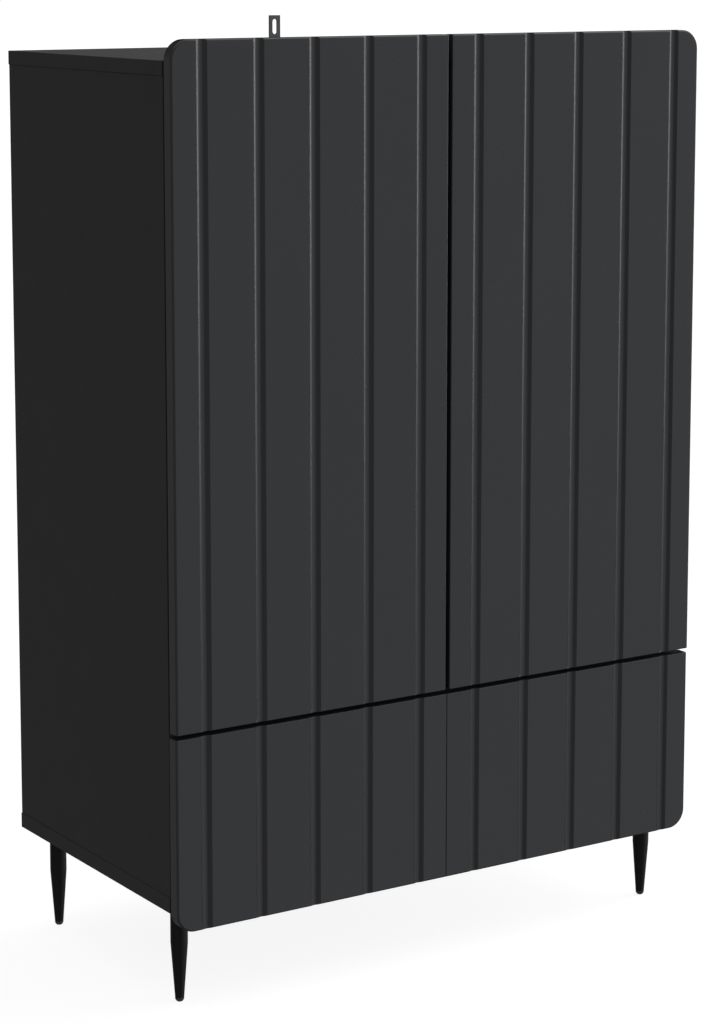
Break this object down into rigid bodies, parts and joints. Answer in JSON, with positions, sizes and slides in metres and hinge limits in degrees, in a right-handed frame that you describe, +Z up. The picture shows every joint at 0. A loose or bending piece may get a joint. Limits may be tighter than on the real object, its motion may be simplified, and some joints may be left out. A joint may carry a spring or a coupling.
{
  "type": "wardrobe with doors",
  "caption": "Tall handle-free cabinet with grooved double doors above a full-width grooved drawer, on slim tapered metal legs.",
  "frame": {"origin": "on the floor, in the middle of the object's width and depth", "axes": "+Z up, doors face -Y, +X to the right as seen from the front"},
  "size_m": [0.8, 0.4334, 1.216],
  "materials": {
    "carcass_board": "matt anthracite melamine on chipboard",
    "front_foil": "silk-matt anthracite foil on milled fibreboard",
    "back_sheet": "thin hardboard",
    "drawer_board": "matt grey melamine on chipboard",
    "leg_steel": "black powder coat",
    "glide_plastic": "dark grey moulded plastic",
    "bracket_steel": "dull zinc-plated steel",
    "plated_screw": "zinc-plated steel",
    "cast_zinc": "die-cast zinc alloy",
    "hinge_nickel": "nickel-plated steel",
    "runner_steel": "zinc-plated sheet steel",
    "beech": "fluted beech",
    "strip_plastic": "black extruded plastic",
    "bumper_rubber": "translucent grey rubber"
  },
  "bodies": {
    "cabinet": {"back_joining_strip": "strip_plastic", "back_panel_left": "back_sheet", "back_panel_right": "back_sheet", "bottom_panel": "carcass_board", "cam_bolts": "plated_screw", "cam_locks": "cast_zinc", "dowels": "beech", "fixed_shelf": "carcass_board", "glide_front_left": "glide_plastic", "glide_front_right": "glide_plastic", "glide_rear_left": "glide_plastic", "glide_rear_right": "glide_plastic", "hinge_plates": "hinge_nickel", "hinge_screws": "plated_screw", "left_hinge_arms": "hinge_nickel", "leg_front_left": "leg_steel", "leg_front_right": "leg_steel", "leg_inserts": "plated_screw", "leg_rear_left": "leg_steel", "leg_rear_right": "leg_steel", "leg_studs": "plated_screw", "right_hinge_arms": "hinge_nickel", "runner_outer_left": "runner_steel", "runner_outer_right": "runner_steel", "runner_screws": "plated_screw", "shelf_lower": "carcass_board", "shelf_pins": "plated_screw", "shelf_upper": "carcass_board", "side_panel_left": "carcass_board", "side_panel_right": "carcass_board", "top_panel": "carcass_board", "wall_bracket": "bracket_steel", "wall_bracket_screws": "plated_screw"},
    "left_door": {"left_cup_screws": "plated_screw", "left_door_bumpers": "bumper_rubber", "left_door_panel": "front_foil", "left_hinge_cups": "hinge_nickel", "left_hinge_pins": "hinge_nickel"},
    "right_door": {"right_cup_screws": "plated_screw", "right_door_bumpers": "bumper_rubber", "right_door_panel": "front_foil", "right_hinge_cups": "hinge_nickel", "right_hinge_pins": "hinge_nickel"},
    "runner_middles": {"runner_middle_left": "runner_steel", "runner_middle_right": "runner_steel"},
    "drawer": {"drawer_back": "drawer_board", "drawer_batten": "drawer_board", "drawer_bottom": "back_sheet", "drawer_box_screws": "plated_screw", "drawer_front_left": "front_foil", "drawer_front_right": "front_foil", "drawer_front_screws": "plated_screw", "drawer_inner_front": "drawer_board", "drawer_side_left": "drawer_board", "drawer_side_right": "drawer_board", "runner_inner_left": "runner_steel", "runner_inner_right": "runner_steel", "runner_inner_screws": "plated_screw"}
  },
  "joints": [
    {"name": "left_door_hinge", "type": "hinge", "parent": "cabinet", "child": "left_door", "pos_m": [-0.391, -0.20825, 0.779], "axis": [0, 0, -1], "range_deg": [0, 95]},
    {"name": "right_door_hinge", "type": "hinge", "parent": "cabinet", "child": "right_door", "pos_m": [0.391, -0.20825, 0.779], "axis": [0, 0, 1], "range_deg": [0, 95]},
    {"name": "drawer_slide", "type": "slide", "parent": "cabinet", "child": "drawer", "axis": [0, -1, 0], "range_m": [0, 0.33]},
    {"name": "runner_middle_slide", "type": "slide", "parent": "cabinet", "child": "runner_middles", "axis": [0, -1, 0], "range_m": [0, 0.165]}
  ],
  "couplings": [
    {"joint": "runner_middle_slide", "follows": "drawer_slide", "ratio": 0.5}
  ]
}
